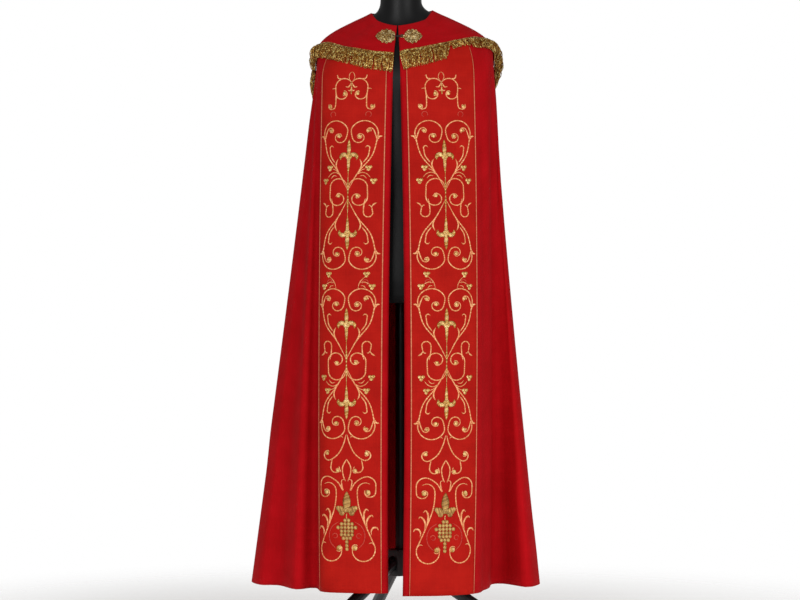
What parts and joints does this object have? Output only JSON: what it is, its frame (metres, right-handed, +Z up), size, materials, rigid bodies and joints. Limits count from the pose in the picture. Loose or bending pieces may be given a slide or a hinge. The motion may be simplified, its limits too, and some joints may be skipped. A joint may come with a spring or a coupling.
{
  "type": "cope vestment on a dress form",
  "caption": "Floor-length liturgical cope with orphreys, fringed hood and leaf clasp, hanging open at the front over a limbless dress form on a tripod stand.",
  "frame": {"origin": "on the floor, under the middle of the bounding box", "axes": "+Z up, -Y towards the front opening, +X to the right as seen from the front"},
  "size_m": [0.721, 0.5894, 1.645],
  "materials": {
    "red_cloth": "red worsted twill with a soft sheen",
    "orphrey_cloth": "brighter red satin-faced band with gold embroidery",
    "gold_bullion": "twisted metallic gold thread",
    "clasp_gold": "metal thread embroidered leaf",
    "wire_steel": "bent wire hook and eye",
    "form_black": "glossy black moulded shell",
    "stand_black": "glossy black powder-coated tube",
    "foot_rubber": "matt black rubber"
  },
  "bodies": {
    "root": {"mantle": "red_cloth", "orphrey_left": "orphrey_cloth", "orphrey_right": "orphrey_cloth", "hood": "red_cloth", "hood_fringe": "gold_bullion", "clasp_leaf_left": "clasp_gold", "clasp_leaf_right": "clasp_gold", "clasp_hook": "wire_steel", "clasp_eye": "wire_steel", "form_torso": "form_black", "stand_pole": "stand_black", "stand_hub": "stand_black", "stand_leg_1": "stand_black", "stand_leg_2": "stand_black", "stand_leg_3": "stand_black", "stand_foot_1": "foot_rubber", "stand_foot_2": "foot_rubber", "stand_foot_3": "foot_rubber"}
  },
  "joints": []
}
